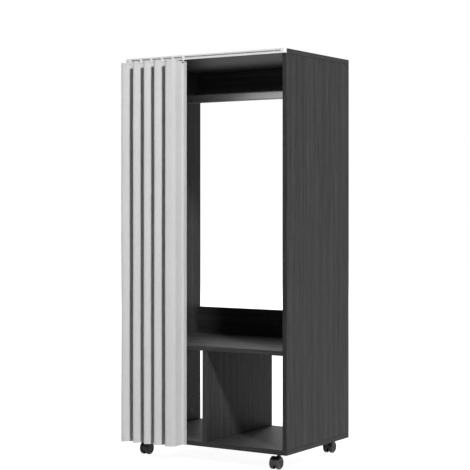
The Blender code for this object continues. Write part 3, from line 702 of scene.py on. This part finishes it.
def stitching(number, surface):
    """The stitches on both faces of one fold: along its header, its bottom hem and its side hem, if any."""
    line = fold_line(number)
    run = run_along(line)
    built = bmesh.new()
    for level in (CURTAIN_TOP - HEADER_STITCH, CURTAIN_BOTTOM + BOTTOM_STITCH):
        for i in range(int(run[-1] / STITCH_PITCH)):
            place, direction = at_run(line, run, (i + 0.5) * STITCH_PITCH)
            normal = Vector((-direction.y, -direction.x))
            half = half_ply(edge_distances(number, place.x, level))
            for sign in (1, -1):
                point = cloth_point(number, place, normal, level, sign * half)
                stitch(built, point, Vector((direction.x, -direction.y, 0)), Vector((*normal, 0)) * sign)
    sides = {0: -SIDE_HEM + SIDE_STITCH, LAST_FOLD: GLIDER_PITCH + SIDE_HEM - SIDE_STITCH}
    if number in sides:
        place = Vector((sides[number], 0))
        for i in range(1, int((CURTAIN_TOP - CURTAIN_BOTTOM) / STITCH_PITCH)):
            level = CURTAIN_TOP - (i + 0.5) * STITCH_PITCH
            half = half_ply(edge_distances(number, place.x, level))
            for sign in (1, -1):
                point = cloth_point(number, place, Vector((0, -1)), level, sign * half)
                stitch(built, point, Vector((0, 0, -1)), Vector((0, -sign, 0)))
    bmesh.ops.recalc_face_normals(built, faces=built.faces)
    return finish_mesh(f"curtain_stitching_{number + 1}", built, surface, STITCH_SHARP_DEGREES)


def curtain(surfaces):
    """Five folds with their stitching, each from the glider on its left to the one on its right, in place of
    the solid pleats.
    """
    before = 0.0
    for number in range(GLIDERS - 1):
        cloth, width = cloth_fold(number, before, surfaces["curtain"])
        thread = stitching(number, surfaces["thread"])
        before += width
        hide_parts(f"curtain_pleat_{number + 1}")
        for piece in (cloth, thread):
            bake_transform(piece)


def spun(built, profile, axis, steps=ROUND_STEPS):
    """Adds a solid of revolution from (place along the axis, radius) points. The axis is X or Z."""
    made = []
    for at, radius in profile:
        made.append(built.verts.new((at, radius, 0) if axis == "X" else (radius, 0, at)))
    edges = [built.edges.new(pair) for pair in zip(made, made[1:])]
    direction = (1, 0, 0) if axis == "X" else (0, 0, 1)
    bmesh.ops.spin(
        built,
        geom=made + edges,
        cent=(0, 0, 0),
        axis=direction,
        angle=2 * math.pi,
        steps=steps,
        use_merge=True,
    )
    bmesh.ops.remove_doubles(built, verts=built.verts, dist=SPIN_WELD)


def wheel_profile():
    """Half the section of a wheel, from its hub bore round the tread to the middle of its outer face.

    The inner face is hollow between the hub and the rim, and the outer face has a dished ring and a dimple.
    """
    width, radius = WHEEL_WIDTH, WHEEL_RADIUS
    line, half_line = MOULD_LINE_PLACE, MOULD_LINE_WIDTH / 2
    inner = [
        (0, WHEEL_BORE),
        (0, WHEEL_HUB_RADIUS),
        (WHEEL_RECESS, WHEEL_HUB_RADIUS),
        (WHEEL_RECESS, WHEEL_RECESS_RADIUS),
        (0, WHEEL_RECESS_RADIUS),
        (0, radius),
        (line - half_line, radius),
    ]
    mould_line = [Vector((line, radius - MOULD_LINE)), Vector((line + half_line, radius))]
    shoulder = []
    for i in range(SHOULDER_STEPS + 1):
        turn = math.pi / 2 * i / SHOULDER_STEPS
        across = width - WHEEL_SHOULDER * (1 - math.sin(turn))
        shoulder.append(Vector((across, WHEEL_RIM_RADIUS + (radius - WHEEL_RIM_RADIUS) * math.cos(turn))))
    dish, dimple = width - WHEEL_DISH, width - WHEEL_DIMPLE
    levels = (width, dish, dish, width, width, dimple, dimple)
    outer = [tuple(shoulder[-1]), *zip(levels, (*WHEEL_DISH_RADII, *WHEEL_DIMPLE_RADII, 0))]
    rounded = eased(outer, [PART_EASE] * (len(outer) - 2), OUTER_EASE_STEPS)
    inner_eases = [PART_EASE] * (len(inner) - 3) + [TREAD_EASE]
    return eased(inner, inner_eases, INNER_EASE_STEPS) + mould_line + shoulder + rounded[1:]


def core_outline():
    """The core between the wheels, seen along the axle, as (along the trail, up) points round it."""
    axle = Vector((-CASTER_TRAIL, WHEEL_RADIUS))
    outline = []
    for radius, (start, end), steps in (
        (CORE_RADIUS, CORE_ARC_DEGREES, CORE_ARC_STEPS),
        (CORE_HUB_RADIUS, CORE_HUB_ARC_DEGREES, CORE_HUB_ARC_STEPS),
    ):
        for i in range(steps + 1):
            turn = math.radians(start + (end - start) * i / steps)
            outline.append(axle + Vector((math.cos(turn), math.sin(turn))) * radius)
    boss = [(BOSS_RADIUS, CORE_RADIUS), (BOSS_RADIUS, CORE_SHOULDER), (-BOSS_RADIUS, CORE_SHOULDER)]
    return [tuple(point) for point in outline] + boss


def caster_body_mesh():
    """The moulded body: the core between the wheels, and the boss that turns on the stem."""
    built = bmesh.new()
    half = CORE_HALF_WIDTH
    face = built.faces.new([built.verts.new((-half, y, z)) for y, z in core_outline()])
    pulled = bmesh.ops.extrude_face_region(built, geom=[face])["geom"]
    moved = [item for item in pulled if isinstance(item, bmesh.types.BMVert)]
    bmesh.ops.translate(built, verts=moved, vec=(2 * half, 0, 0))
    bmesh.ops.recalc_face_normals(built, faces=built.faces)
    rims = [edge for edge in built.edges if abs(edge.verts[0].co.x - edge.verts[1].co.x) < half]
    bmesh.ops.bevel(
        built, geom=rims, offset=CORE_EASE, segments=CORE_EASE_STEPS, affect="EDGES", profile=0.5
    )
    boss = [(CORE_RADIUS, 0), (CORE_RADIUS, BOSS_RADIUS), (BOSS_TOP, BOSS_RADIUS), (BOSS_TOP, 0)]
    spun(built, [tuple(point) for point in eased(boss, [PART_EASE] * 2)], "Z")
    bmesh.ops.recalc_face_normals(built, faces=built.faces)
    return built


def caster(corner, x, y, surface):
    """The smooth body and wheels of one caster, where the solids have them."""
    turned = Matrix.Rotation(math.radians(CASTER_TURNS_DEGREES[corner]), 4, "Z")
    pivot = Matrix.Translation((x, y, 0)) @ turned
    body = finish_mesh(f"{corner}_caster_hood", caster_body_mesh(), surface)
    body.matrix_world = pivot
    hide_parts(f"{corner}_caster_body")
    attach(body, f"{corner}_caster_fork")
    for side, sign, turn in (("left", -1, math.pi), ("right", 1, 0)):
        built = bmesh.new()
        spun(built, wheel_profile(), "X")
        bmesh.ops.recalc_face_normals(built, faces=built.faces)
        wheel = finish_mesh(f"{corner}_caster_{side}_tyre", built, surface)
        place = Matrix.Translation((sign * WHEEL_SPACING / 2, -CASTER_TRAIL, WHEEL_RADIUS))
        wheel.matrix_world = pivot @ place @ Matrix.Rotation(turn, 4, "Z")
        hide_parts(f"{corner}_caster_{side}_wheel")
        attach(wheel, f"{corner}_caster_{side}_wheel")


def casters(surface):
    for row, y in (("front", FRONT + CASTER_END_INSET), ("rear", REAR - CASTER_END_INSET)):
        for side, sign in (("left", -1), ("right", 1)):
            caster(f"{row}_{side}", sign * (INSIDE + BOARD - CASTER_SIDE_INSET), y, surface)


def cover_cap(name, place, facing, surface):
    """A press-in cap over a cam lock: a shallow dome that stands on the board's face."""
    built = bmesh.new()
    rim = (CAP_GAP + CAP_HEIGHT, CAP_RADIUS - CAP_HEIGHT)
    profile = [(CAP_GAP, 0), (CAP_GAP, CAP_RADIUS), rim, (CAP_CROWN, 0)]
    spun(built, [tuple(point) for point in eased(profile, [PART_EASE] * 2)], "Z", CAP_STEPS)
    bmesh.ops.recalc_face_normals(built, faces=built.faces)
    cap = finish_mesh(name, built, surface)
    turn = Vector((0, 0, 1)).rotation_difference(Vector(facing)).to_matrix().to_4x4()
    cap.matrix_world = Matrix.Translation(place) @ turn
    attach(cap, "carcass")


def cover_caps(surface):
    """Caps on the side boards' inner faces, on the divider's left face and on the backs of the two strips."""
    rows = (("front", FRONT + CAP_FROM_EDGE), ("rear", REAR - CAP_FROM_EDGE))
    lower = ("lower", FLOOR_BOARD_TOP + CAP_FROM_JOINT)
    side_levels = (("upper", TOP_BOARD_UNDERSIDE - CAP_FROM_JOINT), lower)
    divider_levels = (("upper", SHELF_UNDERSIDE - CAP_FROM_JOINT), lower)
    for side, sign in (("left", -1), ("right", 1)):
        for row, y in rows:
            for height, z in side_levels:
                cover_cap(f"side_cap_{side}_{row}_{height}", (sign * INSIDE, y, z), (-sign, 0, 0), surface)
    for row, y in rows:
        for height, z in divider_levels:
            cover_cap(f"divider_cap_{row}_{height}", (-BOARD / 2, y, z), (-1, 0, 0), surface)
    for strip, z in (
        ("top", TOP_BOARD_UNDERSIDE - STRIP_CAP_FROM_JOINT),
        ("lower", SHELF_TOP + STRIP_CAP_FROM_JOINT),
    ):
        for side, sign in (("left", -1), ("right", 1)):
            place = (sign * (INSIDE - CAP_FROM_JOINT), REAR, z)
            cover_cap(f"{strip}_strip_cap_{side}", place, (0, 1, 0), surface)


def camera():
    lens = bpy.data.cameras.new("camera")
    lens.lens = CAMERA_LENS
    lens.sensor_width = CAMERA_SENSOR
    lens.shift_y = CAMERA_SHIFT_SHARE
    lens.clip_end = CAMERA_REACH
    made = bpy.data.objects.new("camera", lens)
    made.location = CAMERA_PLACE
    made.rotation_euler = (math.pi / 2, 0, CAMERA_AZIMUTH)
    bpy.context.scene.collection.objects.link(made)
    bpy.context.scene.camera = made
    bpy.context.scene.view_settings.view_transform = "Standard"


def seen_white(tree, lit, white):
    """Mixes a shader with plain white for the camera, mirrors and glass."""
    path = add(tree, "ShaderNodeLightPath")
    direct = math_node(tree, "MAXIMUM", path.outputs["Is Camera Ray"], path.outputs["Is Glossy Ray"])
    direct = math_node(tree, "MAXIMUM", direct, path.outputs["Is Transmission Ray"])
    mixed = add(tree, "ShaderNodeMixShader")
    tree.links.new(direct, mixed.inputs[0])
    tree.links.new(lit, mixed.inputs[1])
    tree.links.new(white, mixed.inputs[2])
    return mixed.outputs[0]


def world():
    made = bpy.data.worlds.new("studio")
    bpy.context.scene.world = made
    made.use_nodes = True
    tree = made.node_tree
    lit = tree.nodes["Background"]
    lit.inputs["Color"].default_value = opaque(WHITE)
    lit.inputs["Strength"].default_value = WORLD_STRENGTH
    white = add(tree, "ShaderNodeBackground")
    white.inputs["Color"].default_value = opaque(WHITE)
    white.inputs["Strength"].default_value = 1.0
    out = tree.nodes["World Output"]
    tree.links.new(seen_white(tree, lit.outputs[0], white.outputs[0]), out.inputs["Surface"])


def floor():
    """A pale floor that the camera sees as white, with the wardrobe's shadow on it."""
    built = bmesh.new()
    bmesh.ops.create_grid(built, x_segments=1, y_segments=1, size=FLOOR_SIZE / 2)
    mesh = bpy.data.meshes.new("floor")
    built.to_mesh(mesh)
    built.free()
    obj = bpy.data.objects.new("floor", mesh)
    bpy.context.scene.collection.objects.link(obj)
    surface, tree, shader = node_tree("pale_floor")
    shader.inputs["Base Color"].default_value = opaque(FLOOR_COLOR)
    shader.inputs["Roughness"].default_value = FLOOR_ROUGHNESS
    glow = add(tree, "ShaderNodeEmission")
    distance = add(tree, "ShaderNodeVectorMath", operation="LENGTH")
    tree.links.new(space(tree, (1.0, 1.0, 1.0)), distance.inputs[0])
    spread = add(tree, "ShaderNodeMapRange")
    tree.links.new(distance.outputs["Value"], spread.inputs["Value"])
    spread.inputs["From Min"].default_value = FLOOR_GLOW_NEAR
    spread.inputs["From Max"].default_value = FLOOR_GLOW_FAR
    for end, share in zip(("To Min", "To Max"), FLOOR_GLOW_SHARES):
        spread.inputs[end].default_value = share
    tree.links.new(spread.outputs[0], glow.inputs["Strength"])
    both = add(tree, "ShaderNodeAddShader")
    tree.links.new(shader.outputs[0], both.inputs[0])
    tree.links.new(glow.outputs[0], both.inputs[1])
    out = tree.nodes["Material Output"]
    tree.links.new(seen_white(tree, shader.outputs[0], both.outputs[0]), out.inputs["Surface"])
    mesh.materials.append(surface)


def lamp(name, azimuth, elevation, size, power):
    """A square soft light, placed by the degrees it stands to the right of the front and above the floor."""
    light = bpy.data.lights.new(name, "AREA")
    light.size = size
    light.energy = power
    turn, rise = math.radians(azimuth), math.radians(elevation)
    aim = Vector((math.sin(turn) * math.cos(rise), -math.cos(turn) * math.cos(rise), math.sin(rise)))
    made = bpy.data.objects.new(name, light)
    made.location = Vector(LIGHT_TARGET) + aim * LIGHT_DISTANCE
    made.rotation_mode = "QUATERNION"
    made.rotation_quaternion = (-aim).to_track_quat("-Z", "Y")
    bpy.context.scene.collection.objects.link(made)


def lights():
    for name, values in LAMPS.items():
        lamp(name, **values)


def main():
    surfaces = materials()
    dress_boards()
    dress_fittings(surfaces)
    curtain(surfaces)
    casters(surfaces["caster"])
    cover_caps(surfaces["cap"])
    camera()
    world()
    floor()
    lights()


main()
